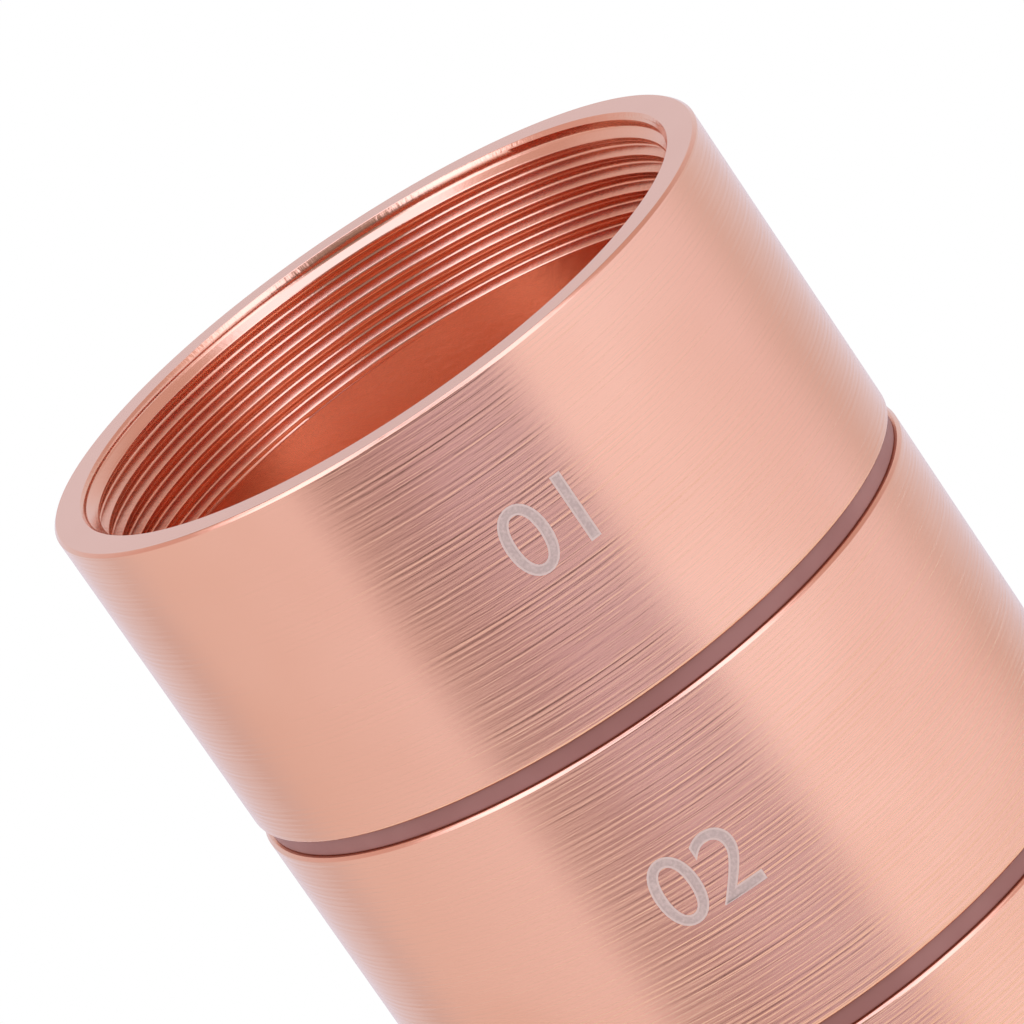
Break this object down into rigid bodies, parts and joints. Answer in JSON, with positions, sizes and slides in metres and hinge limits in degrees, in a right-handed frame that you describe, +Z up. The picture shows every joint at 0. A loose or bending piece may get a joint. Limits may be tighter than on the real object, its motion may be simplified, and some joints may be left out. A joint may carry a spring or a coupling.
{
  "type": "weekly pill box",
  "caption": "Tower of round turned aluminium cups that screw into each other, one for each day's pills, with seal rings and a screw lid set down beside it.",
  "frame": {"origin": "centre of the flat foot that the tower stands on", "axes": "+Z up along the tower's axis, +X towards the lid that is set down beside it"},
  "size_m": [0.085, 0.035, 0.128],
  "materials": {
    "rose_aluminium": "fine-turned, rose-gold anodised",
    "seal_rubber": "matt"
  },
  "bodies": {
    "day_cup_7": {"day_cup_7": "rose_aluminium"},
    "seal_ring_6": {"seal_ring_6": "seal_rubber"},
    "day_cup_6": {"day_cup_6": "rose_aluminium"},
    "seal_ring_5": {"seal_ring_5": "seal_rubber"},
    "day_cup_5": {"day_cup_5": "rose_aluminium"},
    "seal_ring_4": {"seal_ring_4": "seal_rubber"},
    "day_cup_4": {"day_cup_4": "rose_aluminium"},
    "seal_ring_3": {"seal_ring_3": "seal_rubber"},
    "day_cup_3": {"day_cup_3": "rose_aluminium"},
    "seal_ring_2": {"seal_ring_2": "seal_rubber"},
    "day_cup_2": {"day_cup_2": "rose_aluminium"},
    "seal_ring_1": {"seal_ring_1": "seal_rubber"},
    "day_cup_1": {"day_cup_1": "rose_aluminium"},
    "screw_lid": {"screw_lid": "rose_aluminium", "lid_seal": "seal_rubber"}
  },
  "joints": [
    {"name": "cup_6_lift", "type": "slide", "parent": "day_cup_7", "child": "seal_ring_6", "axis": [0, 0, 1], "range_m": [0, 0.0061]},
    {"name": "cup_6_turn", "type": "hinge", "parent": "seal_ring_6", "child": "day_cup_6", "pos_m": [0, 0, 0.023], "axis": [0, 0, 1], "range_deg": [0, 2160]},
    {"name": "cup_5_lift", "type": "slide", "parent": "day_cup_6", "child": "seal_ring_5", "axis": [0, 0, 1], "range_m": [0, 0.0061]},
    {"name": "cup_5_turn", "type": "hinge", "parent": "seal_ring_5", "child": "day_cup_5", "pos_m": [0, 0, 0.0405], "axis": [0, 0, 1], "range_deg": [0, 2160]},
    {"name": "cup_4_lift", "type": "slide", "parent": "day_cup_5", "child": "seal_ring_4", "axis": [0, 0, 1], "range_m": [0, 0.0061]},
    {"name": "cup_4_turn", "type": "hinge", "parent": "seal_ring_4", "child": "day_cup_4", "pos_m": [0, 0, 0.058], "axis": [0, 0, 1], "range_deg": [0, 2160]},
    {"name": "cup_3_lift", "type": "slide", "parent": "day_cup_4", "child": "seal_ring_3", "axis": [0, 0, 1], "range_m": [0, 0.0061]},
    {"name": "cup_3_turn", "type": "hinge", "parent": "seal_ring_3", "child": "day_cup_3", "pos_m": [0, 0, 0.0755], "axis": [0, 0, 1], "range_deg": [0, 2160]},
    {"name": "cup_2_lift", "type": "slide", "parent": "day_cup_3", "child": "seal_ring_2", "axis": [0, 0, 1], "range_m": [0, 0.0061]},
    {"name": "cup_2_turn", "type": "hinge", "parent": "seal_ring_2", "child": "day_cup_2", "pos_m": [0, 0, 0.093], "axis": [0, 0, 1], "range_deg": [0, 2160]},
    {"name": "cup_1_lift", "type": "slide", "parent": "day_cup_2", "child": "seal_ring_1", "axis": [0, 0, 1], "range_m": [0, 0.0061]},
    {"name": "cup_1_turn", "type": "hinge", "parent": "seal_ring_1", "child": "day_cup_1", "pos_m": [0, 0, 0.1105], "axis": [0, 0, 1], "range_deg": [0, 2160]},
    {"name": "lid_lift", "type": "slide", "parent": "day_cup_7", "child": "screw_lid", "axis": [0, 0, 1], "range_m": [0, 0.03]}
  ],
  "couplings": [
    {"joint": "cup_6_lift", "follows": "cup_6_turn", "m_per_rad": 0.00015915},
    {"joint": "cup_5_lift", "follows": "cup_5_turn", "m_per_rad": 0.00015915},
    {"joint": "cup_4_lift", "follows": "cup_4_turn", "m_per_rad": 0.00015915},
    {"joint": "cup_3_lift", "follows": "cup_3_turn", "m_per_rad": 0.00015915},
    {"joint": "cup_2_lift", "follows": "cup_2_turn", "m_per_rad": 0.00015915},
    {"joint": "cup_1_lift", "follows": "cup_1_turn", "m_per_rad": 0.00015915}
  ]
}
